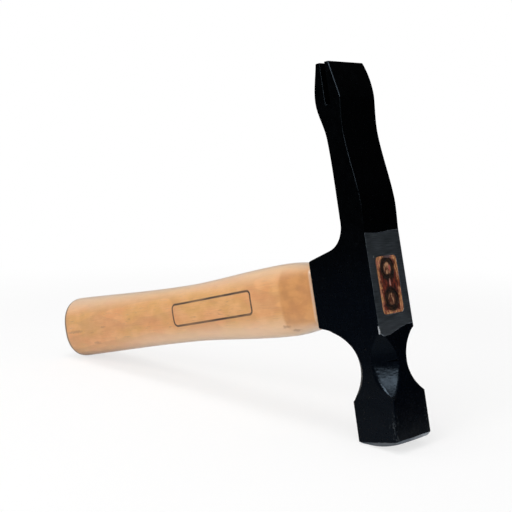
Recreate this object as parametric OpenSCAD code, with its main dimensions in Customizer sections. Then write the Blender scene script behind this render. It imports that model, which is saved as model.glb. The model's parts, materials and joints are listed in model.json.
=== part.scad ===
// Scutch hammer: a forged head with a square poll and a comb holder, on a wedged hardwood handle.
// The hammer stands as it is put down on a bench, on the rear edge of its poll and on its butt.
// Head and handle are drawn in the head's own frame: X = 0 is the ground face round the eye, the
// handle runs towards -X, Z = 0 is the middle of the eye and the nose points to +Z.

/* [Head] */
// Width of the head across its cheeks, which is also the width of the comb
head_w = 25; // [23:0.5:32]
// Depth of the eye block from the ground face back to the end of the socket
head_depth = 39; // [36:0.5:44]
// Height of the ground face above the middle of the eye
face_top = 25.5; // [22:0.5:30]
// Height of the ground face below the middle of the eye
face_bottom = 21.5; // [19:0.5:24]

/* [Nose and comb slot] */
// Height of the nose's front jaw above the middle of the eye
nose_h = 108.5; // [104:0.5:125]
// Height of the rear jaw above the front one
jaw_rise = 0.6; // [0:0.1:1.5]
// Distance from the ground face back to the middle of the nose
nose_back = 10.1; // [8:0.1:12]
// Thickness over both jaws at their tips
jaw_tip_t = 8.2; // [7:0.1:11]
// Thickness over both jaws at their roots
jaw_root_t = 16.3; // [13:0.1:19]
// Length of the jaws from their roots to their tips
jaw_len = 17.5; // [14:0.5:22]
// Width of the slot that holds the comb
slot_w = 3.2; // [2.4:0.1:4]
// Depth of the slot from the tips of the jaws
slot_depth = 20; // [12:0.5:26]

/* [Arm] */
// Height of the arm's thinnest place above the middle of the eye
waist_h = 73; // [66:0.5:80]
// Distance from the ground face back to the front of the thinnest place
waist_front = 3.3; // [2:0.1:5]
// Distance from the ground face back to the rear of the thinnest place
waist_rear = 14.4; // [13:0.1:16]
// Height at which the arm's front stands furthest forward
bulge_h = 41; // [36:0.5:50]
// Distance that the arm's front stands forward of the ground face
bulge = 0.7; // [0.1:0.1:2]
// Distance from the ground face back to the rear of the arm over the socket
arm_rear = 14; // [12:0.1:15]

/* [Eye] */
// Length of the eye at its mouth in the ground face
eye_l = 27.4; // [24:0.1:30]
// Width of the eye at its mouth in the ground face
eye_w = 15.2; // [12:0.1:17]
// Taper of the eye's length towards the handle, over its whole depth
eye_taper_l = 3; // [0.5:0.1:5]
// Taper of the eye's width towards the handle, over its whole depth
eye_taper_w = 1.6; // [0.5:0.1:3]
// Radius of the eye's four corners
eye_corner_r = 2.2; // [1:0.1:4]

/* [Socket] */
// Height of the socket's end above the middle of the eye
socket_top = 16.6; // [15:0.1:20]
// Height of the socket's end below the middle of the eye
socket_bottom = 16.6; // [15:0.1:19]
// Angle at which the socket widens towards the head, in degrees
socket_flare = 12.7; // [5:0.1:16]
// Radius of the forged corner between the arm and the socket
arm_fillet_r = 12.5; // [6:0.1:13]
// Radius of the forged corner between the neck and the socket
neck_fillet_r = 12.5; // [3:0.1:14]

/* [Neck and poll] */
// Distance from the middle of the eye down to the shoulder of the poll
poll_shoulder_h = 52.3; // [50:0.1:56]
// Distance from the middle of the eye down to the ground rim of the poll
poll_rim_h = 72.1; // [66:0.1:80]
// Width of the poll across the cheeks at its shoulder
poll_shoulder_w = 23.2; // [21:0.1:26]
// Width of the poll across the cheeks at its rim
poll_rim_w = 25; // [23:0.1:28]
// Distance that the poll's front stands forward of the ground face at its shoulder
poll_shoulder_front = 1.4; // [0.2:0.1:3]
// Distance that the poll's front stands forward of the ground face at its rim
poll_rim_front = 0.4; // [0:0.1:2]
// Distance from the ground face back to the rear of the neck and of the poll's shoulder
neck_rear = 24.1; // [22:0.1:26]
// Distance from the ground face back to the poll's rear at its rim
poll_rim_rear = 23.6; // [22:0.1:26]
// Height of the ground rim round the striking face
rim_h = 1.3; // [0.8:0.1:2]
// Width of the ground rim round the striking face
rim_w = 1.6; // [0.8:0.1:2.5]
// Radius of the hollow in each corner of the neck
scoop_r = 21.5; // [19:0.1:23]
// Depth of each hollow, measured across the corner
scoop_depth = 6.5; // [4:0.1:7.5]
// Distance from the middle of the eye down to the middle of the two front hollows
scoop_front_h = 36.4; // [35.5:0.1:38.5]
// Distance from the middle of the eye down to the middle of the two rear hollows
scoop_rear_h = 38; // [36.5:0.1:39]

/* [Handle] */
// Distance from the ground face back to the butt
reach = 270; // [250:1:320]
// Height of the butt above the middle of the eye
butt_top = 19.4; // [17:0.1:22]
// Height of the butt below the middle of the eye
butt_bottom = 19.4; // [17:0.1:22]
// Width of the butt
butt_w = 32.6; // [28:0.1:36]
// Radius of the edge round the butt
butt_r = 2.6; // [1.5:0.1:6]
// Distance from the ground face back to the handle's slimmest place
slim_back = 150; // [130:1:170]
// Height of the slimmest place above the middle of the eye
slim_top = 15.5; // [14:0.1:18]
// Height of the slimmest place below the middle of the eye
slim_bottom = 17.5; // [15:0.1:19]
// Width of the slimmest place
slim_w = 27; // [23:0.1:30]
// Distance from the end of the socket back to the swell behind the head
swell_back = 27; // [20:0.5:40]
// Height of the swell above the middle of the eye
swell_top = 17.9; // [16:0.1:21]
// Height of the swell below the middle of the eye
swell_bottom = 19.9; // [17:0.1:22]
// Width of the swell
swell_w = 29.4; // [26:0.1:33]
// Step from the socket's end in to the handle's shoulder, on each side
shoulder_step = 0.6; // [0.2:0.1:1.5]
// Radius of the edge round the handle's shoulder
shoulder_r = 1.4; // [0.5:0.1:3]
// Squareness of the handle's section at the shoulder, where 2 is an ellipse
shoulder_square = 3.4; // [2.5:0.1:5]
// Squareness of the handle's section along the grip, where 2 is an ellipse
grip_square = 2.4; // [2:0.1:3]
// Clearance between the tenon and the eye, on each side
tenon_gap = 0.05; // [0.02:0.01:0.1]
// Depth of the tenon's end below the ground face
tenon_recess = 0.2; // [0.1:0.1:1]

/* [Ring wedges] */
// Diameter of the ring wedges
ring_d = 9.8; // [8:0.1:10]
// Thickness of their wall at the driven end
ring_wall = 1.3; // [0.8:0.1:1.8]
// Thickness of their wall at the cutting edge
ring_edge = 0.4; // [0.2:0.1:0.6]
// Distance that the outside tapers in, on each side
ring_draft = 0.3; // [0.1:0.1:0.5]
// Length of the ring wedges
ring_l = 8; // [5:0.5:12]
// Depth of their driven end below the tenon's end
ring_recess = 0.3; // [0.1:0.1:1]
// Distance from the middle of the eye up to the upper ring wedge
ring_up = 7.7; // [5.5:0.1:8]
// Distance from the middle of the eye down to the lower ring wedge
ring_down = 6.9; // [5.5:0.1:8]
// Clearance between a ring wedge and its groove
ring_gap = 0.02; // [0.01:0.01:0.05]

/* [Hidden] */

// Steps in which curves are drawn
curve_steps = 10;
ring_points = 44;
grip_steps = 34;
edge_steps = 5;
// Length by which a cut runs past the faces that it opens
past = 2;

// Places in the side view, as [x, z]
striking_z = -(poll_rim_h + rim_h);
heel = [-(poll_rim_rear - rim_w), striking_z];
jaw_root_z = nose_h - jaw_len;
socket_top_end = [-head_depth, socket_top];
socket_bottom_end = [-head_depth, -socket_bottom];
shoulder_back = head_depth;

// The standing hammer touches the bench with its heel and with the round edge of its butt
butt_edge = [-(reach - butt_r), -(butt_bottom - butt_r)];
heel_to_butt = butt_edge - heel;
tilt = 180 - atan2(heel_to_butt[1], heel_to_butt[0]) - asin(butt_r / norm(heel_to_butt));
lift = -(heel[0] * sin(tilt) + heel[1] * cos(tilt));
foremost = poll_rim_front * cos(tilt) + poll_rim_h * sin(tilt);
rearmost = butt_edge[0] * cos(tilt) - (butt_top - butt_r) * sin(tilt) - butt_r;
middle = (foremost + rearmost) / 2;

// Slope at row i of a list of rows [place, size, ...]
function slope(rows, i) =
    let (a = rows[max(i - 1, 0)], b = rows[min(i + 1, len(rows) - 1)])
    (b - a) / (b[0] - a[0]);

// Row at a place on the smooth curve through all the rows
function smooth_at(rows, place, i = 0) =
    i < len(rows) - 2 && place > rows[i + 1][0]
        ? smooth_at(rows, place, i + 1)
        : let (
            a = rows[i],
            b = rows[i + 1],
            run = b[0] - a[0],
            t = (place - a[0]) / run
        )
        (2 * pow(t, 3) - 3 * pow(t, 2) + 1) * a
        + (pow(t, 3) - 2 * pow(t, 2) + t) * run * slope(rows, i)
        + (3 * pow(t, 2) - 2 * pow(t, 3)) * b
        + (pow(t, 3) - pow(t, 2)) * run * slope(rows, i + 1);

// Points [x, z] up a smooth curve through rows [z, x]
function climb(rows) =
    let (low = rows[0][0], high = rows[len(rows) - 1][0], steps = curve_steps * (len(rows) - 1))
    [for (k = [0:steps])
        let (row = smooth_at(rows, low + (high - low) * k / steps)) [row[1], row[0]]];

function backwards(list) = [for (k = [len(list) - 1:-1:0]) list[k]];

// Points along an arc
function arc(centre, r, from, to) =
    [for (k = [0:curve_steps])
        let (a = from + (to - from) * k / curve_steps) centre + r * [cos(a), sin(a)]];

// Forged corner between an upright rear face at -back and the sloping side of the socket.
// side is 1 above the socket and -1 below it.
function forged_corner(end, back, r, side) =
    let (
        x = -back - r,
        slope_z = end[1] + side * (x - end[0]) * tan(socket_flare),
        centre = [x, slope_z + side * r / cos(socket_flare)]
    )
    arc(centre, r, 0, -side * (90 - socket_flare));

// Signed power that rounds a circle's sine or cosine towards a rectangle's
function squared(v, square) = sign(v) * pow(abs(v), 2 / square);

// Ring of points round a handle section, a row of [back, top, bottom, half width, squareness]
function section(row) =
    [for (k = [0:ring_points - 1])
        let (a = 360 * k / ring_points, up = squared(sin(a), row[4]))
        [-row[0], row[3] * squared(cos(a), row[4]), up * (up > 0 ? row[1] : row[2])]];

function inset(row, d, back) = [back, row[1] - d, row[2] - d, row[3] - d, row[4]];

// Corner-rounded rectangle of points, length along Z and width along Y
function rounded_section(x, l, w, r) =
    [for (q = [0:3], k = [0:edge_steps])
        let (
            a = 90 * (q + k / edge_steps),
            y = (q == 0 || q == 3 ? 1 : -1) * (w / 2 - r),
            z = (q < 2 ? 1 : -1) * (l / 2 - r)
        )
        [x, y + r * cos(a), z + r * sin(a)]];

// Closed skin over a list of rings that follow each other towards -X
module skin(rings) {
    n = len(rings[0]);
    last = len(rings) - 1;
    polyhedron(
        points = [for (ring = rings) each ring],
        faces = concat(
            [[for (k = [n - 1:-1:0]) k]],
            [for (i = [0:last - 1], k = [0:n - 1]) [
                i * n + k, i * n + (k + 1) % n, (i + 1) * n + (k + 1) % n, (i + 1) * n + k
            ]],
            [[for (k = [0:n - 1]) last * n + k]]
        ),
        convexity = 4
    );
}

// Turns and lifts the hammer from the head's frame on to the bench
module stand() {
    translate([-middle, 0, lift]) rotate([0, -tilt, 0]) children();
}

// Side view of the whole forging
module head_side() {
    front = climb([
        [face_top, 0], [bulge_h, bulge], [waist_h, -waist_front],
        [jaw_root_z, -(nose_back - jaw_root_t / 2)]
    ]);
    rear = climb([
        [forged_corner(socket_top_end, arm_rear, arm_fillet_r, 1)[0][1], -arm_rear],
        [waist_h, -waist_rear],
        [jaw_root_z, -(nose_back + jaw_root_t / 2)],
        [nose_h + jaw_rise, -(nose_back + jaw_tip_t / 2)]
    ]);
    polygon(concat(
        [
            heel,
            [poll_rim_front - rim_w, striking_z],
            [poll_rim_front, -poll_rim_h],
            [poll_shoulder_front, -poll_shoulder_h],
            [0, -face_bottom]
        ],
        front,
        [[-(nose_back - jaw_tip_t / 2), nose_h]],
        backwards(rear),
        forged_corner(socket_top_end, arm_rear, arm_fillet_r, 1),
        [socket_top_end, socket_bottom_end],
        backwards(forged_corner(socket_bottom_end, neck_rear, neck_fillet_r, -1)),
        [
            [-neck_rear, -poll_shoulder_h],
            [-poll_rim_rear, -poll_rim_h]
        ]
    ));
}

// Front view of the forging, the same on both sides
module head_front() {
    half = [
        [poll_rim_w / 2 - rim_w, striking_z],
        [poll_rim_w / 2, -poll_rim_h],
        [poll_shoulder_w / 2, -poll_shoulder_h],
        [head_w / 2, -face_bottom],
        [head_w / 2, nose_h + past]
    ];
    polygon(concat(half, [for (p = backwards(half)) [-p[0], p[1]]]));
}

// Tapered plug that fills the eye: its void in the head, or the tenon when gap is taken off
module eye_plug(front_x, rear_x, gap) {
    function taper(x) = -x / head_depth;
    function at(x) = rounded_section(
        x,
        eye_l - eye_taper_l * taper(x) - 2 * gap,
        eye_w - eye_taper_w * taper(x) - 2 * gap,
        eye_corner_r - gap
    );
    skin([at(front_x), at(rear_x)]);
}

module comb_slot() {
    translate([-nose_back - slot_w / 2, -head_w / 2 - past, nose_h - slot_depth])
        cube([slot_w, head_w + 2 * past, slot_depth + past]);
}

// The four hollows in the corners of the neck, each a cylinder laid across its corner
module neck_hollows() {
    out = (scoop_r - scoop_depth) * cos(45);
    for (sx = [-1, 1], sy = [-1, 1]) {
        h = sx > 0 ? scoop_front_h : scoop_rear_h;
        share = (h - face_bottom) / (poll_shoulder_h - face_bottom);
        corner_x = sx > 0 ? poll_shoulder_front * share : -neck_rear;
        corner_y = (head_w + (poll_shoulder_w - head_w) * share) / 2;
        translate([corner_x + sx * out, sy * (corner_y + out), -h])
            rotate([0, 0, -45 * sx * sy])
                rotate([0, 90, 0])
                    cylinder(r = scoop_r, h = 4 * head_w, center = true, $fn = 96);
    }
}

module head() {
    color("#15191f") stand() difference() {
        intersection() {
            rotate([90, 0, 0])
                linear_extrude(height = 2 * head_w, center = true) head_side();
            translate([-head_depth - past, 0, 0]) rotate([90, 0, 90])
                linear_extrude(height = head_depth + 4 * past) head_front();
        }
        eye_plug(past, -head_depth - past, 0);
        comb_slot();
        neck_hollows();
    }
}

// Wall of a ring wedge in half section, swollen by gap for its groove
module ring_section(gap) {
    polygon([
        [ring_d / 2 - ring_wall - gap, 0],
        [ring_d / 2 + gap, 0],
        [ring_d / 2 - ring_draft + gap, -ring_l - gap],
        [ring_d / 2 - ring_draft - ring_edge - gap, -ring_l - gap]
    ]);
}

module at_ring(z) {
    translate([-tenon_recess - ring_recess, 0, z]) rotate([0, 90, 0]) children();
}

module ring_groove(z) {
    at_ring(z) {
        rotate_extrude($fn = 64) ring_section(ring_gap);
        difference() {
            cylinder(r = ring_d / 2 + ring_gap, h = ring_recess + past, $fn = 64);
            translate([0, 0, -past])
                cylinder(r = ring_d / 2 - ring_wall - ring_gap, h = ring_recess + 3 * past, $fn = 64);
        }
    }
}

module grip() {
    shoulder = [
        shoulder_back, socket_top - shoulder_step, socket_bottom - shoulder_step,
        head_w / 2 - shoulder_step, shoulder_square
    ];
    keys = [
        shoulder,
        [shoulder_back + swell_back, swell_top, swell_bottom, swell_w / 2, grip_square],
        [slim_back, slim_top, slim_bottom, slim_w / 2, grip_square],
        [reach, butt_top, butt_bottom, butt_w / 2, grip_square]
    ];
    first = shoulder_back + shoulder_r;
    last = reach - butt_r;
    function turned(share) = 1 - sqrt(1 - share * share);
    skin([
        for (k = [0:edge_steps - 1])
            let (a = 90 * k / edge_steps)
            section(inset(shoulder, shoulder_r * (1 - sin(a)), shoulder_back + shoulder_r * (1 - cos(a)))),
        for (k = [0:grip_steps])
            section(smooth_at(keys, first + (last - first) * k / grip_steps)),
        for (k = [1:edge_steps])
            let (a = 90 * k / edge_steps, back = last + butt_r * sin(a))
            section(inset(smooth_at(keys, back), butt_r * (1 - cos(a)), back))
    ]);
}

module handle() {
    color("#d9a773") stand() difference() {
        union() {
            grip();
            eye_plug(-tenon_recess, -head_depth - 2 * past, tenon_gap);
        }
        ring_groove(ring_up);
        ring_groove(-ring_down);
    }
}

module ring_wedge(z) {
    color("#3b3a3a") stand() at_ring(z) rotate_extrude($fn = 64) ring_section(0);
}

module ring_wedge_upper() { ring_wedge(ring_up); }

module ring_wedge_lower() { ring_wedge(-ring_down); }

head();
handle();
ring_wedge_upper();
ring_wedge_lower();
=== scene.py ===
import json
import math

import bmesh
import bpy
from mathutils import Matrix, Quaternion, Vector


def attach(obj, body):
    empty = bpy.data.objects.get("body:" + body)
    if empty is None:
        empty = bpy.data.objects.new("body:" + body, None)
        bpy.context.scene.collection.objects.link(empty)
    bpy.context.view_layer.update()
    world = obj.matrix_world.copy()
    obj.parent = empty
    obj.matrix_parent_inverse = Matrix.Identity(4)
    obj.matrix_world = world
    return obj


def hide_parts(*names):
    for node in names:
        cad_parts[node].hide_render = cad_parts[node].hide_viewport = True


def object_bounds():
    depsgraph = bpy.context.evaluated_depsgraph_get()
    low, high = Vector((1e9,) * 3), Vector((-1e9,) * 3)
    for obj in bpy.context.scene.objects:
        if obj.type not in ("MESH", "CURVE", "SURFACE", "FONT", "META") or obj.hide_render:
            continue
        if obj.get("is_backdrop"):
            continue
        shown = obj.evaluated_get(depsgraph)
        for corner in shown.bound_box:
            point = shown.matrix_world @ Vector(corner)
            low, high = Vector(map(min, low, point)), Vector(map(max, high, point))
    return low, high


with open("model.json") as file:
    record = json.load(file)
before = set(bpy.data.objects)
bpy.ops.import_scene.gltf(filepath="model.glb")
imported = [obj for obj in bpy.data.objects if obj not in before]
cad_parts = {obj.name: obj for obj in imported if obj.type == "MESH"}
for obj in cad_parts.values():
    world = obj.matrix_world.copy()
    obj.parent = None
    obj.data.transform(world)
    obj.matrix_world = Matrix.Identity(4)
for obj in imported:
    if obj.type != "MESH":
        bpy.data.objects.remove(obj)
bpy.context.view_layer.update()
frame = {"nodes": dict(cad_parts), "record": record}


# How the hammer lies
# The head leans back until its heel and the butt both touch the bench. Each piece is drawn in
# millimetres in the head's own frame, with X = 0 at the ground face, the handle towards -X, Z = 0 at
# the middle of the eye and the nose towards +Z, and is then laid on the bench.

cheek_mount_back = 20

mounts = {mount["name"]: mount for mount in frame["record"]["mounts"]}
down_the_poll = Vector(mounts["striking_face"]["axis"])
lean = math.atan2(down_the_poll.x, -down_the_poll.z)
out_of_the_eye = Vector((math.cos(lean), 0, math.sin(lean)))
eye_mouth = Vector(mounts["cheek_near"]["pos_m"])
eye_mouth.y = 0
eye_mouth += out_of_the_eye * cheek_mount_back / 1000
on_the_bench = (
    Matrix.Translation(eye_mouth) @ Matrix.Rotation(-lean, 4, "Y") @ Matrix.Scale(0.001, 4)
)


# Head
# A drop forging of carbon steel: arm, eye block, socket, neck and square poll are one piece. It is
# dipped in black enamel, then the face round the eye and the rim of the poll are ground bare.

# Where its forms lie
cheek = 12.5
ground_top = 25.5
ground_bottom = -21.5
ground_run_out = 3
eye_reach_across = 7.7
eye_reach_up = 15
nose_root = 91
slot_middle = -10.1
slot_reach = 2
slot_foot = 88
socket_end = -39
socket_reach = 14
front_hollows_from = -14
poll_rim = -72.1
poll_rim_margin = 0.2

# How far the arrises are rounded off, and where their radius changes
socket_radius = 1.9
forged_radius = 0.7
arm_radius = 0.45
arm_run_in = 14
hollow_radius = 0.45
hollow_side_radius = 1.5
hollow_side_from = -36.5
hollow_side_to = -52.5
ground_radius = 0.25
mouth_radius = 0.15
touching = 0.02


def arris_radius(edge):
    """How far, in millimetres, an outer edge of the forging is rounded off"""
    place = (edge.verts[0].co + edge.verts[1].co) / 2
    in_the_slot = abs(place.x - slot_middle) < slot_reach and place.z > slot_foot
    in_the_eye = abs(place.y) < eye_reach_across and abs(place.z) < eye_reach_up
    if in_the_slot or in_the_eye:
        return mouth_radius
    under_the_ground_face = abs(place.z - ground_bottom) < ground_run_out and place.x > -1
    if place.z < poll_rim + poll_rim_margin or under_the_ground_face:
        return ground_radius
    if place.z > ground_top:
        share = min(1, (place.z - ground_top) / arm_run_in)
        return ground_radius + (arm_radius - ground_radius) * share
    if abs(place.x) < touching and place.z > ground_bottom:
        return ground_radius
    if abs(place.x - socket_end) < touching:
        return socket_radius if abs(place.z) > socket_reach else forged_radius
    at_the_side = abs(place.y) > abs(place.x) and place.x > front_hollows_from
    if at_the_side and place.z > hollow_side_to:
        share = (place.z - hollow_side_from) / (hollow_side_to - hollow_side_from)
        share = max(0, 4 * share * (1 - share))
        return mouth_radius + (hollow_side_radius - mouth_radius) * share
    return hollow_radius


forging = bmesh.new()
forging.from_mesh(frame["nodes"]["head"].data)
bmesh.ops.transform(forging, matrix=on_the_bench.inverted(), verts=forging.verts)
bmesh.ops.remove_doubles(forging, verts=forging.verts, dist=0.1)

# The two front hollows run out at the lower corners of the ground face
hollow_tip = 1.0
for side in (-1, 1):
    corner = Vector((0, side * cheek, ground_bottom))
    tip = [vert for vert in forging.verts if (vert.co - corner).length < hollow_tip]
    bmesh.ops.pointmerge(forging, verts=tip, merge_co=corner)
bmesh.ops.dissolve_limit(
    forging, angle_limit=math.radians(0.3), verts=forging.verts, edges=forging.edges
)

# The dies that pressed the hollows were round, so each is deeper in its middle than at its sides
hollow_sag = 1.5
hollow_cuts = 5
in_line = 0.01
# Each fold across a hollow: its edge, its middle, half its length and the way into the steel
pressed = []
for edge in forging.edges:
    a, b = (vert.co for vert in edge.verts)
    normals = [face.normal for face in edge.link_faces]
    slanted = all(abs(n.x) > 0.1 and abs(abs(n.x) - abs(n.y)) < in_line for n in normals)
    if slanted and abs(a.z - b.z) < in_line:
        inward = -(normals[0] + normals[1]).normalized()
        pressed.append((edge, (a + b) / 2, (a - b).length / 2, inward))


def off_the_fold(row, place):
    """How far a place lies from one of the folds across a hollow"""
    _, middle, half_length, _ = row
    return abs(middle.z - place.z) + max(0, (middle - place).length - half_length)


cut = bmesh.ops.subdivide_edges(forging, edges=[row[0] for row in pressed], cuts=hollow_cuts)
widest = max(row[2] for row in pressed)
for vert in cut["geom_inner"]:
    if isinstance(vert, bmesh.types.BMVert):
        nearest = min(pressed, key=lambda row: off_the_fold(row, vert.co))
        _, middle, half_length, inward = nearest
        share = (vert.co - middle).length / half_length
        vert.co += inward * hollow_sag * half_length / widest * (1 - share**2)

# The front of the jaws is ground round towards its far side
jaw_bulge = 1.0
jaw_cuts = 7
jaw_shortest = 5
far_edge = [
    edge for edge in forging.edges
    if all(abs(vert.co.y - cheek) < in_line and nose_root - 1 < vert.co.z for vert in edge.verts)
    and min(vert.co.x for vert in edge.verts) > slot_middle + slot_reach
    and abs(edge.verts[0].co.z - edge.verts[1].co.z) > jaw_shortest
]
for edge in far_edge:
    low, high = sorted(vert.co.z for vert in edge.verts)
    cut = bmesh.ops.subdivide_edges(forging, edges=[edge], cuts=jaw_cuts)
    for vert in cut["geom_inner"]:
        if isinstance(vert, bmesh.types.BMVert):
            share = (vert.co.z - low) / (high - low)
            vert.co.x += jaw_bulge * 4 * share * (1 - share)

# The striking face is ground to a low crown, which runs out into the flanks of the poll, so that its
# rim is low at the corners and deep between them. The crown falls away from the rear edge, on which
# the head rests, at no more than the slope of the bench.
crown_slope = 0.15
crown_return = 0.86
crown_power = 2.5
crown_across = 400
crown_cuts = 9
rim_bevel = 1.2
near_the_edge = 0.1
striking_face = min(forging.faces, key=lambda face: face.calc_center_median().z)
face_middle = striking_face.calc_center_bounds()
half_deep = max(vert.co.x for vert in striking_face.verts) - face_middle.x
half_wide = max(vert.co.y for vert in striking_face.verts)


def crown_rise(place):
    """How far a point of the striking face lies above its rear edge"""
    share = min(1, max(0, (place.x - face_middle.x) / half_deep / 2 + 0.5))
    fall = crown_slope * 2 * half_deep * (share - crown_return * share**crown_power)
    return place.y**2 / (2 * crown_across) - fall


rim_faces = [face for edge in striking_face.edges for face in edge.link_faces]
level = [
    edge for edge in dict.fromkeys(edge for face in rim_faces for edge in face.edges)
    if abs(edge.verts[0].co.z - edge.verts[1].co.z) < in_line
]
bmesh.ops.subdivide_edges(forging, edges=level, cuts=crown_cuts, use_grid_fill=True)
for vert in forging.verts:
    if abs(vert.co.z - face_middle.z) > in_line:
        continue
    out = vert.co - face_middle
    rise = crown_rise(vert.co)
    if abs(out.x) > half_deep - near_the_edge:
        vert.co.x += math.copysign(rise * rim_bevel, out.x)
    if abs(out.y) > half_wide - near_the_edge:
        vert.co.y += math.copysign(rise * rim_bevel, out.y)
    vert.co.z += rise

arris_from = math.radians(20)
weight = forging.edges.layers.float.new("bevel_weight_edge")
for edge in forging.edges:
    if edge.is_convex and edge.calc_face_angle() > arris_from:
        edge[weight] = arris_radius(edge) / socket_radius


def lay(name, shape):
    """Makes an object of a bmesh that was drawn in the head's own frame, laid on the bench"""
    bmesh.ops.transform(shape, matrix=on_the_bench, verts=shape.verts)
    mesh = bpy.data.meshes.new(name)
    shape.to_mesh(mesh)
    shape.free()
    piece = bpy.data.objects.new(name, mesh)
    bpy.context.scene.collection.objects.link(piece)
    return piece


head = lay("head_forging", forging)
rounding = head.modifiers.new("arrises", "BEVEL")
rounding.limit_method = "WEIGHT"
rounding.width = socket_radius / 1000
rounding.segments = 4
rounding.use_clamp_overlap = False
rounding.material = -1
even = head.modifiers.new("even_faces", "WEIGHTED_NORMAL")
even.weight = 60


def add(tree, kind, inputs=None, **settings):
    """A node with its settings, and with its inputs as values or as the outputs that feed them"""
    node = tree.nodes.new("ShaderNode" + kind)
    for setting, value in settings.items():
        setattr(node, setting, value)
    for name, value in (inputs or {}).items():
        if isinstance(value, bpy.types.NodeSocket):
            tree.links.new(value, node.inputs[name])
        else:
            node.inputs[name].default_value = value
    return node


def calc(tree, operation, *values, clamp=False):
    """The result of one Math node"""
    inputs = dict(enumerate(values))
    return add(tree, "Math", inputs, operation=operation, use_clamp=clamp).outputs[0]


def times(tree, result, *others):
    """The product of two or more values"""
    for other in others:
        result = calc(tree, "MULTIPLY", result, other)
    return result


def plus(tree, result, *others):
    """The sum of two or more values"""
    for other in others:
        result = calc(tree, "ADD", result, other)
    return result


def minus(tree, first, second):
    """The first value less the second"""
    return calc(tree, "SUBTRACT", first, second)


def unsigned(tree, value):
    """A value without its sign"""
    return calc(tree, "ABSOLUTE", value)


def larger(tree, first, second):
    """The larger of two values"""
    return calc(tree, "MAXIMUM", first, second)


def length(tree, place):
    """How far a place lies from the origin"""
    return add(tree, "VectorMath", {0: place}, operation="LENGTH").outputs["Value"]


def ramp(tree, value, low, high, to_low=0, to_high=1, smooth=True):
    """A value carried from one range to another, and held at its ends"""
    kind = "SMOOTHSTEP" if smooth else "LINEAR"
    inputs = {0: value, 1: low, 2: high, 3: to_low, 4: to_high}
    return add(tree, "MapRange", inputs, interpolation_type=kind).outputs[0]


def noise(tree, place, scale=1.0, detail=2.0, roughness=0.5):
    """Cloudy values from 0 to 1"""
    inputs = {"Vector": place, "Scale": scale, "Detail": detail, "Roughness": roughness}
    return add(tree, "TexNoise", inputs).outputs["Fac"]


def waver(tree, place, scale, strength, **kind):
    """Cloudy values round 0"""
    return times(tree, minus(tree, noise(tree, place, scale, **kind), 0.5), strength)


def stretch(tree, place, scale, turn=(0, 0, 0), shift=(0, 0, 0)):
    """A place scaled along each axis, then turned and shifted"""
    inputs = {"Vector": place, "Scale": scale, "Rotation": turn, "Location": shift}
    return add(tree, "Mapping", inputs).outputs[0]


def mix(tree, share, first, second):
    """A colour between two"""
    node = add(tree, "Mix", {0: share}, data_type="RGBA")
    for socket, value in ((6, first), (7, second)):
        if isinstance(value, bpy.types.NodeSocket):
            tree.links.new(value, node.inputs[socket])
        else:
            node.inputs[socket].default_value = (*value, 1)
    return node.outputs[2]


def bump(tree, height, distance=0.001):
    """A normal that follows a height"""
    inputs = {"Height": height, "Distance": distance, "Strength": 1.0}
    return add(tree, "Bump", inputs).outputs[0]


def new_material(name):
    """An empty material: its node tree, its shader and the place on the hammer in millimetres,
    in the head's own frame"""
    material = bpy.data.materials.new(name)
    material.use_nodes = True
    tree = material.node_tree
    shader = tree.nodes["Principled BSDF"]
    place = add(tree, "TexCoord").outputs["Object"]
    back = Matrix.Rotation(lean, 3, "Y") @ eye_mouth * 1000
    place = stretch(tree, place, (1000,) * 3, (0, lean, 0), -back)
    return material, tree, shader, place


def feed(tree, shader, **inputs):
    """Feeds a shader's inputs, whose names are written with underscores"""
    for name, value in inputs.items():
        socket = shader.inputs[name.replace("_", " ").title().replace("Ior", "IOR")]
        if isinstance(value, bpy.types.NodeSocket):
            tree.links.new(value, socket)
        else:
            socket.default_value = value


def scratches(tree, place, coverage):
    """A mask of fine scratches in three directions, in patches where the piece was rubbed"""
    lines = 0
    for turn, spacing in ((0.5, 0.9), (-0.9, 1.3), (1.4, 1.7)):
        along = stretch(tree, place, (0.05, spacing, spacing), (turn, turn, turn))
        thread = unsigned(tree, minus(tree, noise(tree, along, detail=1.0), 0.5))
        lines = larger(tree, ramp(tree, thread, 0.006, 0.0), lines)
    patches = plus(tree, noise(tree, place, 0.09), coverage)
    return times(tree, lines, ramp(tree, patches, 0.95, 1.1))


# Black enamel, and bare steel where the wheel took it off
steel_dull = (0.14, 0.17, 0.2)
steel_clear = (0.23, 0.27, 0.31)
steel_brushed = (0.31, 0.36, 0.41)
steel_low = (0.42, 0.47, 0.54)
steel_knocked = (0.88, 0.92, 0.96)
rim_side_painted_shade = (0.21, 0.225, 0.245)
rim_front = (0.30, 0.32, 0.35)
rim_worn = (0.7, 0.72, 0.74)
enamel_high = (0.0001, 0.0001, 0.0002)
enamel_painted_light_low = (0.0004, 0.0012, 0.0032)
enamel_cloud = (0.0008, 0.0012, 0.0018)
enamel_mirror_tint = (0.62, 0.81, 1, 1)
scratch_grey = (0.02, 0.024, 0.028)
chip_grey = (0.04, 0.045, 0.05)

head_material, tree, shader, place = new_material("head_enamel_and_steel")
x, y, z = add(tree, "SeparateXYZ", {0: place}).outputs
wander = waver(tree, place, 0.3, 0.5)

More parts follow.
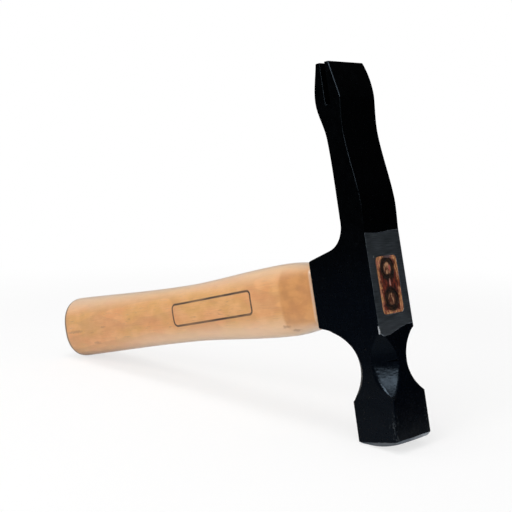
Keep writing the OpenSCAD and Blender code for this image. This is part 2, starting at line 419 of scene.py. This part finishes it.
# The lower edge of the ground face climbs towards the far side, and its upper edge sags a little
lower_edge_near = -23.2
lower_edge_far = -19.8
upper_edge_middle = 24.85
upper_edge_ends = 25.55
lower_edge = plus(tree, ramp(tree, y, -9.0, 9.0, lower_edge_near, lower_edge_far), wander)
lower_edge = plus(tree, lower_edge, ramp(tree, y, -9.5, -12.5, 0.0, 0.6))
above = ramp(tree, minus(tree, z, lower_edge), -0.15, 0.15)
from_lowest = unsigned(tree, plus(tree, y, 4.0))
upper_edge = ramp(tree, from_lowest, 0.0, 12.0, upper_edge_middle, upper_edge_ends)
upper_edge = plus(tree, upper_edge, times(tree, wander, 0.4))
below = ramp(tree, minus(tree, z, upper_edge), 0.12, -0.12)
behind_face = ramp(tree, z, -20.0, -22.0, 0.12, 0.2)
in_front = ramp(tree, minus(tree, unsigned(tree, x), behind_face), 0.0, -0.07)
ground = times(tree, above, below, in_front)

rim_edge = ramp(tree, y, -12.3, -11.9, poll_rim - 0.35, poll_rim - 0.1)
rim = ramp(tree, minus(tree, plus(tree, z, wander), rim_edge), 0.0, -0.12)
bare = larger(tree, ground, rim)

brushing = noise(tree, stretch(tree, place, (3.0, 0.12, 3.0)), detail=4.0, roughness=0.6)
cloud = noise(tree, place, 0.12, detail=3.0)
steel = mix(tree, cloud, steel_dull, steel_clear)
steel = mix(tree, ramp(tree, brushing, 0.35, 0.7), steel, steel_brushed)
steel = mix(tree, ramp(tree, z, -13.0, -20.0, 0.0, 0.4), steel, steel_low)

# The rim of the poll is worn brightest at its far front corner. Its near side is painted darker than
# its front, in the same steel: painted shade.
on_front = ramp(tree, x, -1.5, -0.5)
rim_steel = mix(tree, on_front, rim_side_painted_shade, rim_front)
rim_steel = mix(tree, times(tree, on_front, ramp(tree, y, -6.0, 12.0)), rim_steel, rim_worn)
steel = mix(tree, rim, steel, rim_steel)

# Spots where the bare steel was knocked bright: across, up, half width, half height
for across, up, wide, high in ((-12.5, -20.6, 0.9, 2.9), (-8.7, 13.8, 0.65, 0.65)):
    scale = (0, 1 / wide, 1 / high)
    here = stretch(tree, place, scale, shift=(0, -across / wide, -up / high))
    knocked = ramp(tree, length(tree, here), 1.0, 0.5)
    steel = mix(tree, knocked, steel, steel_knocked)
    bare = larger(tree, bare, times(tree, knocked, ramp(tree, x, -0.8, -0.5)))

tone = noise(tree, place, 0.07, detail=3.0)
# The enamel is painted lighter and bluer towards the bottom, as a painted reflection.
enamel = mix(tree, ramp(tree, z, 35.0, -15.0), enamel_high, enamel_painted_light_low)
enamel = mix(tree, ramp(tree, tone, 0.3, 0.7, 0.0, 0.3), enamel, enamel_cloud)
enamel = mix(tree, times(tree, scratches(tree, place, 0.32), 0.4), enamel, scratch_grey)

# The front corners of the poll, chipped grey by use
chips = noise(tree, stretch(tree, place, (1.0, 1.0, 0.55)), 0.75, detail=4.0, roughness=0.7)
from_side = minus(tree, cheek - 0.7, unsigned(tree, y))
from_corner = plus(tree, larger(tree, from_side, 0.0), unsigned(tree, x))
chipped = ramp(tree, minus(tree, chips, times(tree, from_corner, 0.035)), 0.5, 0.56)
chipped = times(tree, chipped, ramp(tree, z, poll_rim + 16, poll_rim + 10))
enamel = mix(tree, times(tree, chipped, 0.6), enamel, chip_grey)

# The hollows keep the marks of the die: how far the place lies from the axis of the nearest hollow
neck_axis = -11.7
neck_half_depth = 12.4
neck_half_width = 12.3
die_axis_out = 15.0
die_axis_height = -37.0
die_radius = 22.2
die_run_out = 0.8
flank = minus(tree, unsigned(tree, minus(tree, x, neck_axis)), neck_half_depth)
beside = minus(tree, unsigned(tree, y), neck_half_width)
towards_axis = times(tree, plus(tree, flank, beside), math.sqrt(0.5))
from_axis = minus(tree, die_axis_out, towards_axis)
off_axis = add(tree, "CombineXYZ", {0: from_axis, 1: minus(tree, z, die_axis_height)}).outputs[0]
in_hollow = ramp(tree, length(tree, off_axis), die_radius, die_radius - die_run_out)
die_marks = noise(tree, stretch(tree, place, (0.35, 0.35, 0.9), (0.5, 0.4, 0)), detail=3.0)

orange_peel = times(tree, noise(tree, place, 1.1), 0.006)
hammered = times(tree, noise(tree, place, 0.13, detail=1.0), 0.16)
relief = plus(tree, orange_peel, hammered, times(tree, die_marks, in_hollow, 0.16))
relief = times(tree, relief, minus(tree, 1.0, bare))
relief = plus(tree, relief, times(tree, brushing, 0.02, bare))
enamel_rough = ramp(tree, noise(tree, place, 0.35, detail=3.0), 0.3, 0.7, 0.22, 0.3)
steel_rough = ramp(tree, brushing, 0.3, 0.7, 0.34, 0.46)
feed(
    tree, shader,
    base_color=mix(tree, bare, enamel, steel),
    metallic=bare,
    roughness=add(tree, "Mix", {0: bare, 2: enamel_rough, 3: steel_rough}).outputs[0],
    normal=bump(tree, relief),
    specular_ior_level=0.13,
    specular_tint=enamel_mirror_tint,
)
head.data.materials.clear()
head.data.materials.append(head_material)

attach(head, "root")
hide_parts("head")


# Handle
# One piece of ash, shaped on a copying lathe, trimmed flat on both sides behind the socket, sanded
# and lacquered. Its tapered tenon fills the eye, and its end carries the grooves that the ring
# wedges cut.

# Distance behind the ground face, top, bottom, half width and squareness, where 2 is an ellipse
grip_rows = [
    (39, 14.6, 16.0, 15.0, 3.2),
    (66, 17.9, 19.9, 14.9, 2.8),
    (150, 15.5, 17.5, 13.5, 2.4),
    (270, 19.4, 19.4, 16.3, 2.4),
]
grip_front = grip_rows[0][0]
grip_back = grip_rows[-1][0]
grip_step = 3
ring_sides = 128
trim_half_width = 11.9
trim_slope = 0.155
trim_softness = 1.4
trim_back = 75
trim_step = 1.2
shoulder_radius = 1.4
shoulder_steps = 6
butt_radius = 2.6
butt_steps = 8
butt_crown = 0.4
tenon_end = -0.2
tenon_half_length = 13.65
tenon_half_width = 7.55
tenon_length_taper = 1.5
tenon_width_taper = 0.8
tenon_corner = 2.15
ring_middles = {"ring_wedge_upper": 7.7, "ring_wedge_lower": -6.9}
groove_outer = 4.92
groove_inner = 3.58
groove_foot_outer = 4.62
groove_foot_inner = 4.18
groove_depth = 8.3
groove_sides = 56


def grip_at(back):
    """Top, bottom, half width and squareness of the grip, on the smooth curve through the rows"""
    last = len(grip_rows) - 1
    i = max(k for k in range(last) if k == 0 or grip_rows[k][0] <= back)
    low, high = grip_rows[i], grip_rows[i + 1]

    def slope(k):
        before, after = grip_rows[max(k - 1, 0)], grip_rows[min(k + 1, last)]
        return [(b - a) / (after[0] - before[0]) for a, b in zip(before, after)]

    run = high[0] - low[0]
    t = (back - low[0]) / run
    sizes = zip(low, high, slope(i), slope(i + 1))
    return [
        (2 * t**3 - 3 * t**2 + 1) * a + (t**3 - 2 * t**2 + t) * run * leaving
        + (3 * t**2 - 2 * t**3) * b + (t**3 - t**2) * run * reaching
        for a, b, leaving, reaching in sizes
    ][1:]


def squared(value, squareness):
    """Rounds a circle's sine or cosine towards a rectangle's"""
    return math.copysign(abs(value) ** (2 / squareness), value)


def trimmed(width, limit):
    """A half width cut down to a limit, with a soft edge between the two"""
    share = min(1, max(0, 0.5 + (limit - width) / (2 * trim_softness)))
    return limit * (1 - share) + width * share - trim_softness * share * (1 - share)


def shape_grip(loop, back, inset=0.0, scale=1.0):
    """Places a ring of the grip"""
    top, bottom, half_width, squareness = grip_at(min(max(back, grip_front), grip_back))
    limit = trim_half_width + (back - grip_front) * trim_slope - inset
    for vert in loop:
        width = (half_width - inset) * squared(math.cos(vert[turn]), squareness)
        if back < trim_back:
            width = math.copysign(trimmed(abs(width), limit), width)
        up = squared(math.sin(vert[turn]), squareness)
        height = up * ((top if up > 0 else bottom) - inset)
        vert.co = (-back, width * scale, height * scale)


def shape_tenon(loop, x):
    """Places a ring of the tenon, a rectangle with round corners"""
    share = x / -grip_front
    half_width = tenon_half_width - tenon_width_taper * share - tenon_corner
    half_length = tenon_half_length - tenon_length_taper * share - tenon_corner
    for vert in loop:
        across, up = math.cos(vert[turn]), math.sin(vert[turn])
        vert.co = (
            x,
            math.copysign(half_width, across) + tenon_corner * across,
            math.copysign(half_length, up) + tenon_corner * up,
        )


def drawn_on(shape, rim):
    """Extrudes a rim of edges, and gives the new rim and its points"""
    made = bmesh.ops.extrude_edge_only(shape, edges=rim)["geom"]
    return (
        [part for part in made if isinstance(part, bmesh.types.BMEdge)],
        [part for part in made if isinstance(part, bmesh.types.BMVert)],
    )


ash = bmesh.new()
turn = ash.verts.layers.float.new("turn")
loop = bmesh.ops.create_circle(ash, segments=ring_sides, radius=1)["verts"]
for vert in loop:
    vert[turn] = math.atan2(vert.co.y, vert.co.x)
shape_tenon(loop, tenon_end)
tenon_rim = ash.edges[:]
rim, loop = drawn_on(ash, tenon_rim)
shape_tenon(loop, -grip_front)

for step in range(shoulder_steps):
    a = math.pi / 2 * step / shoulder_steps
    rim, loop = drawn_on(ash, rim)
    inset = shoulder_radius * (1 - math.sin(a))
    shape_grip(loop, grip_front + shoulder_radius * (1 - math.cos(a)), inset)

back = grip_front + shoulder_radius
butt_start = grip_back - butt_crown - butt_radius
while back < butt_start:
    rim, loop = drawn_on(ash, rim)
    shape_grip(loop, back)
    back += trim_step if back < trim_back else grip_step

for step in range(butt_steps + 1):
    a = math.pi / 2 * step / butt_steps
    rim, loop = drawn_on(ash, rim)
    shape_grip(loop, butt_start + butt_radius * math.sin(a), butt_radius * (1 - math.cos(a)))
for scale in (0.8, 0.6, 0.4, 0.2):
    rim, loop = drawn_on(ash, rim)
    shape_grip(loop, grip_back - butt_crown * scale**2, butt_radius, scale)
bmesh.ops.contextual_create(ash, geom=rim)

# The ring grooves, and the end grain round them
end_rims = list(tenon_rim)
for middle in ring_middles.values():
    facing_front = (
        Matrix.Translation((tenon_end, 0, middle)) @ Matrix.Rotation(math.pi / 2, 4, "Y")
    )
    feet = []
    # Radius at the mouth and at the foot of each wall, and whether it goes round the core
    walls = ((groove_outer, groove_foot_outer, False), (groove_inner, groove_foot_inner, True))
    for mouth, foot, round_the_core in walls:
        loop = bmesh.ops.create_circle(
            ash, segments=groove_sides, radius=mouth, matrix=facing_front, cap_ends=round_the_core
        )["verts"]
        rim = list(dict.fromkeys(edge for vert in loop for edge in vert.link_edges))
        if not round_the_core:
            end_rims += rim
        rim, loop = drawn_on(ash, rim)
        bmesh.ops.translate(ash, verts=loop, vec=(-groove_depth, 0, 0))
        shrink = (1, foot / mouth, foot / mouth)
        bmesh.ops.scale(ash, verts=loop, vec=shrink, space=Matrix.Translation((0, 0, -middle)))
        feet += rim
    bmesh.ops.bridge_loops(ash, edges=feet)
bmesh.ops.triangle_fill(ash, edges=end_rims, use_beauty=True, normal=(1, 0, 0))
bmesh.ops.recalc_face_normals(ash, faces=ash.faces)


def smooth_faces(piece, sharp_from=35):
    """Shades a piece smoothly, but for its edges that turn by more than some degrees"""
    piece.data.shade_smooth()
    piece.data.set_sharp_from_angle(angle=math.radians(sharp_from))


handle = lay("ash_handle", ash)
smooth_faces(handle)


def new_group(name, inputs, output):
    """An empty node group with its inputs and its one output, and the ends inside it"""
    group = bpy.data.node_groups.new(name, "ShaderNodeTree")
    for label, kind in inputs.items():
        group.interface.new_socket(label, in_out="INPUT", socket_type="NodeSocket" + kind)
    group.interface.new_socket(output, in_out="OUTPUT", socket_type="NodeSocketFloat")
    source = group.nodes.new("NodeGroupInput").outputs
    result = group.nodes.new("NodeGroupOutput").inputs[output]
    return group, source, result


# A soft oval spot with a ragged edge, as of a knot, a stain or a worn place
spot_group, source, result = new_group(
    "ragged_spot", {"Place": "Vector", "Middle": "Vector", "Scale": "Vector"}, "Mask"
)
inputs = {0: source["Place"], 1: source["Middle"]}
here = add(spot_group, "VectorMath", inputs, operation="SUBTRACT").outputs[0]
inputs = {0: here, 1: source["Scale"]}
here = add(spot_group, "VectorMath", inputs, operation="MULTIPLY").outputs[0]
away = plus(spot_group, length(spot_group, here), waver(spot_group, source["Place"], 0.6, 1.2))
spot_group.links.new(ramp(spot_group, away, 1.0, 0.3), result)


def spot(tree, place, middle, reach):
    """A ragged spot round a point. Where the reach is 0, it has no end."""
    scale = [1 / size if size else 0 for size in reach]
    inputs = {"Place": place, "Middle": middle, "Scale": scale}
    return add(tree, "Group", inputs, node_tree=spot_group).outputs["Mask"]


# Distance from the outline of an oblong with round corners, less than 0 inside it
oblong_group, source, result = new_group(
    "round_oblong",
    {"Across": "Float", "Up": "Float", "Half Across": "Float", "Half Up": "Float", "Corner": "Float"},
    "Distance",
)
past_sides = minus(
    oblong_group, unsigned(oblong_group, source["Across"]),
    minus(oblong_group, source["Half Across"], source["Corner"]),
)
past_ends = minus(
    oblong_group, unsigned(oblong_group, source["Up"]),
    minus(oblong_group, source["Half Up"], source["Corner"]),
)
inside = calc(oblong_group, "MINIMUM", larger(oblong_group, past_sides, past_ends), 0.0)
past_sides = larger(oblong_group, past_sides, 0.0)
past_ends = larger(oblong_group, past_ends, 0.0)
squares = [times(oblong_group, value, value) for value in (past_sides, past_ends)]
outside = calc(oblong_group, "SQRT", plus(oblong_group, *squares))
distance = minus(oblong_group, plus(oblong_group, inside, outside), source["Corner"])
oblong_group.links.new(distance, result)


def from_oblong(tree, across, up, half_across, half_up, corner):
    """Distance from the outline of an oblong round the origin"""
    inputs = {
        "Across": across, "Up": up,
        "Half Across": half_across, "Half Up": half_up, "Corner": corner,
    }
    return add(tree, "Group", inputs, node_tree=oblong_group).outputs["Distance"]


# Clear lacquer over pale ash. The rings of the tree run along the handle as faint bands.
ash_warm = (0.74, 0.325, 0.115)
ash_yellow = (0.70, 0.355, 0.10)
ash_light = (0.83, 0.44, 0.175)
ash_brown = (0.62, 0.27, 0.08)
latewood_brown = (0.50, 0.225, 0.085)
fibre_brown = (0.50, 0.24, 0.10)
pore_brown = (0.30, 0.13, 0.05)
painted_sheen_pale = (0.90, 0.66, 0.44)
ash_orange = (0.66, 0.31, 0.10)
trim_brown_and_shade = (0.50, 0.205, 0.055)
trim_orange_and_shade = (0.62, 0.27, 0.072)
shoulder_painted_highlight = (0.72, 0.56, 0.42)
fleck_brown = (0.36, 0.145, 0.06)
butt_dark = (0.12, 0.075, 0.045)
ink_brown = (0.035, 0.015, 0.006)
pith_across = 52
pith_up = -9
ring_spacing = 3.4

ash_material, tree, shader, place = new_material("lacquered_ash")
x, y, z = add(tree, "SeparateXYZ", {0: place}).outputs
sway = noise(tree, stretch(tree, place, (0.012, 0.05, 0.05)))
from_pith = length(tree, stretch(tree, place, (0, 1, 1), shift=(0, -pith_across, -pith_up)))
years = calc(tree, "DIVIDE", plus(tree, from_pith, times(tree, sway, 14.0)), ring_spacing)
year = calc(tree, "FRACT", years)
latewood = times(tree, ramp(tree, year, 0.35, 0.92), ramp(tree, year, 1.0, 0.93))
fibre = noise(tree, stretch(tree, place, (0.05, 2.6, 2.6)), detail=3.0)
pores = noise(tree, stretch(tree, place, (0.16, 2.2, 2.2)), detail=1.0)
pores = times(tree, ramp(tree, pores, 0.64, 0.74), ramp(tree, latewood, 0.7, 0.1, 0.25, 1.0))
blotch = noise(tree, stretch(tree, place, (0.035, 0.07, 0.07)))
mottle = noise(tree, stretch(tree, place, (0.12, 0.2, 0.2)), detail=3.0)

wood = mix(tree, ramp(tree, blotch, 0.38, 0.62), ash_warm, ash_yellow)
wood = mix(tree, ramp(tree, mottle, 0.4, 0.7, 0.0, 0.6), wood, ash_light)
wood = mix(tree, ramp(tree, mottle, 0.42, 0.25, 0.0, 0.5), wood, ash_brown)
wood = mix(tree, times(tree, latewood, 0.3), wood, latewood_brown)
wood = mix(tree, ramp(tree, fibre, 0.45, 0.75, 0.0, 0.35), wood, fibre_brown)
wood = mix(tree, times(tree, pores, 0.4), wood, pore_brown)

# Painted sheen: the wood is painted paler along the top, and along the bottom except near the butt,
# for the light the lacquer catches at a grazing angle
sheen_along_bottom = times(tree, ramp(tree, z, -5.0, -16.0), ramp(tree, x, -235.0, -170.0, 0.1, 1.0))
painted_sheen = larger(tree, ramp(tree, z, 7.0, 18.0), sheen_along_bottom)
wood = mix(tree, times(tree, painted_sheen, 0.62), wood, painted_sheen_pale)

# Towards the head the wood is more orange. Where its sides were trimmed it is darker and more orange
# still: partly the colour of the cut wood, partly painted shade on the trimmed flats.
wood = mix(tree, ramp(tree, x, -95.0, -50.0, 0.0, 0.12), wood, ash_orange)
cut_from = plus(tree, x, times(tree, mottle, 3.0))
trimmed_side = times(
    tree, ramp(tree, cut_from, -60.0, -57.5), ramp(tree, z, 16.5, 9.0), ramp(tree, z, -17.0, -12.0)
)
trim_wood_and_shade = mix(tree, ramp(tree, mottle, 0.35, 0.65), trim_brown_and_shade, trim_orange_and_shade)
wood = mix(tree, times(tree, trimmed_side, 0.75), wood, trim_wood_and_shade)
# A painted highlight: a pale strip where the shoulder rounds off into the socket.
shoulder_highlight = ramp(tree, x, -grip_front - 2.2, -grip_front - 1.2, 0.0, 0.5)
wood = mix(tree, shoulder_highlight, wood, shoulder_painted_highlight)

# Flecks and small knots on the side: along, up, half length, half height, strength
flecks = [
    (-256, -2.5, 13, 1.3, 0.5),
    (-238, -4.4, 4, 0.6, 0.25),
    (-225, -1.7, 4, 0.8, 0.45),
    (-236, -11.1, 4.5, 1.4, 0.45),
    (-196, 1.0, 2.0, 0.9, 0.4),
    (-61, -14.0, 4.0, 1.1, 0.6),
    (-56, -16.4, 3.6, 1.1, 0.6),
]
near_side = ramp(tree, y, 2.0, -2.0)
for along, up, half_long, half_high, strength in flecks:
    mark = spot(tree, place, (along, 0, up), (half_long, 0, half_high))
    wood = mix(tree, times(tree, mark, near_side, strength), wood, fleck_brown)

# The edge of the butt is darker
at_butt = ramp(tree, x, 4.8 - grip_back, 3.0 - grip_back, 0.0, 0.9)
wood = mix(tree, at_butt, wood, butt_dark)

# A plain printed frame on the side
print_along = -117.9
print_up = 0.1
print_turn = 0.024
print_half_along = 34.7
print_half_up = 6.2
print_corner = 2.4
inputs = {"Vector": place, "Center": (print_along, 0, print_up), "Angle": print_turn}
turned = add(tree, "VectorRotate", inputs, rotation_type="Y_AXIS").outputs[0]
along, _, up = add(tree, "SeparateXYZ", {0: turned}).outputs
frame_line = from_oblong(
    tree, minus(tree, along, print_along), minus(tree, up, print_up),
    print_half_along, print_half_up, print_corner,
)
ink = ramp(tree, unsigned(tree, frame_line), 0.7, 0.45)
ink = times(tree, ink, near_side, ramp(tree, fibre, 0.7, 0.4, 0.65, 1.0))
wood = mix(tree, ink, wood, ink_brown)

relief = minus(tree, times(tree, fibre, 0.03), times(tree, pores, 0.05))
relief = plus(tree, relief, times(tree, mottle, 0.05))
feed(
    tree, shader,
    base_color=wood,
    roughness=ramp(tree, fibre, 0.3, 0.7, 0.34, 0.44),
    normal=bump(tree, relief),
    coat_weight=0.3,
    coat_roughness=0.3,
    sheen_weight=0.8,
    sheen_roughness=0.4,
)
handle.data.materials.append(ash_material)

# End grain in the eye, stained by oil and rust round the ring wedges
stain_dark = (0.03, 0.002, 0.001)
stain_red = (0.20, 0.022, 0.004)
grain_brown = (0.20, 0.045, 0.011)
grain_tan = (0.67, 0.32, 0.125)
grain_flush = (0.42, 0.13, 0.09)
core_dark = (0.09, 0.02, 0.007)
core_tan = (0.50, 0.25, 0.13)
stain_and_shadow_black = (0.016, 0.005, 0.002)

end_material, tree, shader, place = new_material("stained_end_grain")
_, y, z = add(tree, "SeparateXYZ", {0: place}).outputs
streaks = noise(tree, stretch(tree, place, (0.5, 1.5, 0.35)), detail=4.0)
stain = mix(tree, ramp(tree, streaks, 0.4, 0.65), stain_dark, stain_red)
clean = mix(tree, ramp(tree, streaks, 0.38, 0.62), grain_brown, grain_tan)
flush = ramp(tree, noise(tree, place, 0.4), 0.45, 0.6, 0.0, 0.7)
clean = mix(tree, flush, clean, grain_flush)

# Clean along the edges and in three corners, stained between the wedges: across and up, reaches
clean_corners = [
    ((6.3, 9), (1.9, 5.0)),
    ((-5.2, 10.5), (2.2, 4.0)),
    ((6.3, -10), (2.0, 4.5)),
]
to_edge = from_oblong(tree, y, z, tenon_half_width, tenon_half_length, tenon_corner)
ragged = waver(tree, place, 0.7, 5.0, detail=4.0, roughness=0.65)
margin = ramp(tree, plus(tree, to_edge, ragged), -2.4, -1.0)
for middle, reach in clean_corners:
    margin = larger(tree, margin, spot(tree, place, (0, *middle), (0, *reach)))
soaked = spot(tree, place, (0, 7, 0.5), (0, 3.5, 4.0))
margin = times(tree, margin, ramp(tree, soaked, 0.0, 1.0, 1.0, 0.1))
end_wood = mix(tree, margin, stain, clean)

for height in ring_middles.values():
    here = stretch(tree, place, (0, 1.15, 1), shift=(0, 0, -height))
    out = length(tree, here)
    tan_from = 0.43 if height > 0 else 0.5
    core = mix(tree, ramp(tree, streaks, tan_from, tan_from + 0.12), core_dark, core_tan)
    end_wood = mix(tree, ramp(tree, out, 3.6, 3.4), end_wood, core)
    # A near-black band round each ring: partly oil stain, partly painted shadow where the ring meets
    # the wood.
    stain_and_shadow = times(tree, ramp(tree, out, 6.6, 5.4), ramp(tree, out, 2.4, 3.1), 0.93)
    end_wood = mix(tree, stain_and_shadow, end_wood, stain_and_shadow_black)

# Single marks: across and up, reaches, colour
end_marks = [
    ((0.5, 0.8), (0.7, 2.2), (0.50, 0.22, 0.17)),
    ((1.6, 7.8), (0.8, 2.4), (0.40, 0.07, 0.06)),
    ((1.5, 13.2), (3.5, 0.9), (0.13, 0.08, 0.085)),
]
for middle, reach, colour in end_marks:
    end_wood = mix(tree, spot(tree, place, (0, *middle), (0, *reach)), end_wood, colour)
feed(
    tree, shader,
    base_color=end_wood,
    roughness=0.55,
    normal=bump(tree, streaks, 0.0004),
    specular_ior_level=0.3,
)
handle.data.materials.append(end_material)
end_grain_to = -groove_depth - 1
for face in handle.data.polygons:
    face.material_index = int((on_the_bench.inverted() @ face.center).x > end_grain_to)

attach(handle, "root")
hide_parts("handle")


# Ring wedges
# Two short steel tubes whose wall is ground thin at one end. They are driven into the end of the
# tenon, and spread it until it fills the eye.

ring_top = -0.5
ring_length = 8
ring_outer = 4.9
ring_wall = 1.3
ring_draft = 0.3
ring_edge = 0.4
ring_round = 0.2
ring_turns = 64
blued_steel = (0.05, 0.045, 0.045)
rusty_steel = (0.11, 0.055, 0.03)

ring_material, tree, shader, place = new_material("ring_wedge_steel")
tarnish = noise(tree, place, 0.8, detail=4.0)
feed(
    tree, shader,
    base_color=mix(tree, ramp(tree, tarnish, 0.4, 0.65), blued_steel, rusty_steel),
    roughness=ramp(tree, tarnish, 0.3, 0.7, 0.4, 0.6),
    metallic=0.8,
    normal=bump(tree, tarnish, 0.0002),
)

for name, middle in ring_middles.items():
    ring = bmesh.new()
    ring_foot = ring_top - ring_length
    outline = [
        ring.verts.new((ring_top, 0, middle + ring_outer)),
        ring.verts.new((ring_foot, 0, middle + ring_outer - ring_draft)),
        ring.verts.new((ring_foot, 0, middle + ring_outer - ring_draft - ring_edge)),
        ring.verts.new((ring_top, 0, middle + ring_outer - ring_wall)),
    ]
    sides = [ring.edges.new((a, b)) for a, b in zip(outline, outline[1:] + outline[:1])]
    bmesh.ops.spin(
        ring, geom=outline + sides, cent=(0, 0, middle), axis=(1, 0, 0), angle=math.tau,
        steps=ring_turns, use_merge=True,
    )
    bmesh.ops.recalc_face_normals(ring, faces=ring.faces)
    struck = [
        edge for edge in ring.edges
        if all(abs(vert.co.x - ring_top) < in_line for vert in edge.verts)
        and edge.calc_face_angle() > arris_from
    ]
    bmesh.ops.bevel(
        ring, geom=struck, offset=ring_round, affect="EDGES", segments=3, profile=0.5, material=-1
    )
    piece = lay(name.replace("wedge", "wedge_steel"), ring)
    smooth_faces(piece)
    piece.data.materials.append(ring_material)
    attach(piece, "root")
    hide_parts(name)


# Bench, lamps and camera
# A round white bench top that fades into a white surround for the camera. Round the horizon the
# black enamel mirrors a dim room, and overhead a white ceiling and the top lamp. Two panels light
# only what mirrors them: the near hollow and its rounded edge.

bench_radius = 0.75
fade_from = 0.22
fade_to = 0.6
bench_white = 0.93
bench_glow = 0.72
bench_mirrored = 0.08
pool_middle = (0.13, 0, 0)
pool_bright = 0.5
pool_from = 0.05
pool_to = 0.2
room_dim = 0.01
ambient = 0.45

bench_mesh = bpy.data.meshes.new("bench")
bench_top = bmesh.new()
bmesh.ops.create_circle(bench_top, cap_ends=True, segments=96, radius=bench_radius)
bench_top.to_mesh(bench_mesh)
bench_top.free()
bench = bpy.data.objects.new("bench", bench_mesh)
bpy.context.scene.collection.objects.link(bench)
bench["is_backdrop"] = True

# For the camera alone the bench glows, most of all at its edge. In mirrors it is bright only under
# the head.
bench_material = bpy.data.materials.new("bench_white")
bench_material.use_nodes = True
tree = bench_material.node_tree
tree.nodes.clear()
rays = add(tree, "LightPath").outputs
place = add(tree, "TexCoord").outputs["Object"]
fading = ramp(tree, length(tree, place), fade_from, fade_to)
fading = ramp(tree, fading, 0.0, 1.0, bench_glow, 1.0, smooth=False)
from_head = add(tree, "VectorMath", {0: place, 1: pool_middle}, operation="DISTANCE")
pool = ramp(tree, from_head.outputs["Value"], pool_from, pool_to, pool_bright, bench_mirrored)
grey = add(tree, "Mix", {0: rays["Is Glossy Ray"], 2: bench_white, 3: pool}).outputs[0]
colour = add(tree, "CombineColor", {0: grey, 1: grey, 2: grey}).outputs[0]
matt = add(tree, "BsdfDiffuse", {"Color": colour}).outputs[0]
glow = add(tree, "Emission", {"Color": (1, 1, 1, 1), "Strength": 1.0}).outputs[0]
seen = times(tree, fading, rays["Is Camera Ray"])
surface = add(tree, "MixShader", {0: seen, 1: matt, 2: glow}).outputs[0]
add(tree, "OutputMaterial", {"Surface": surface})
bench_mesh.materials.append(bench_material)

world = bpy.data.worlds.new("studio")
bpy.context.scene.world = world
world.use_nodes = True
tree = world.node_tree
direction = add(tree, "SeparateXYZ", {0: add(tree, "TexCoord").outputs["Generated"]})
rays = add(tree, "LightPath").outputs
ceiling = ramp(tree, direction.outputs["Z"], 0.6, 0.95, room_dim, 1.0)
seen = larger(tree, rays["Is Camera Ray"], rays["Is Transmission Ray"])
mirrored = times(tree, rays["Is Glossy Ray"], ceiling)
spread = calc(tree, "SUBTRACT", minus(tree, 1.0, seen), rays["Is Glossy Ray"], clamp=True)
light = plus(tree, seen, mirrored, times(tree, spread, ambient))
tree.links.new(light, tree.nodes["Background"].inputs["Strength"])
tree.nodes["Background"].inputs["Color"].default_value = (1, 1, 1, 1)


def softbox(name, place, aim, width, height, radiance, matt=True, mirrored=True):
    """A lamp that faces a point, and looks as bright as white times its radiance"""
    lamp = bpy.data.lights.new(name, "AREA")
    lamp.shape = "RECTANGLE"
    lamp.size = width
    lamp.size_y = height
    lamp.energy = radiance * math.pi * width * height
    box = bpy.data.objects.new(name, lamp)
    box.location = place
    box.rotation_mode = "QUATERNION"
    box.rotation_quaternion = (Vector(aim) - Vector(place)).to_track_quat("-Z", "Y")
    box.visible_diffuse = matt
    box.visible_glossy = mirrored
    bpy.context.scene.collection.objects.link(box)


softbox("top_lamp", (-0.05, -0.1, 0.95), (0, 0, 0.05), 0.35, 0.35, 8)
softbox("front_lamp", (0.2, -0.95, 0.85), (0, 0, 0.08), 0.8, 0.8, 3.4, mirrored=False)
softbox("tall_panel", (0.7, -0.54, 0.9), (0, 0, 0.06), 0.4, 0.75, 12, matt=False)
softbox("side_panel", (0.1, -0.9, 0.72), (0.13, 0, 0.03), 0.5, 0.4, 26, matt=False)

camera_place = Vector((0.4159, -0.3542, 0.1464))
camera_aim = Vector((0.0329, 0, 0.0816))
camera_roll = math.radians(-0.22)
camera_lens = 68.49
camera_sensor = 36
camera = bpy.data.objects.new("camera", bpy.data.cameras.new("camera"))
camera.data.lens = camera_lens
camera.data.sensor_width = camera_sensor
camera.location = camera_place
camera.rotation_mode = "QUATERNION"
camera.rotation_quaternion = (camera_aim - camera_place).to_track_quat("-Z", "Y") @ Quaternion(
    (0, 0, 1), camera_roll
)
bpy.context.scene.collection.objects.link(camera)
bpy.context.scene.camera = camera
bpy.context.scene.view_settings.view_transform = "Standard"

low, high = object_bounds()
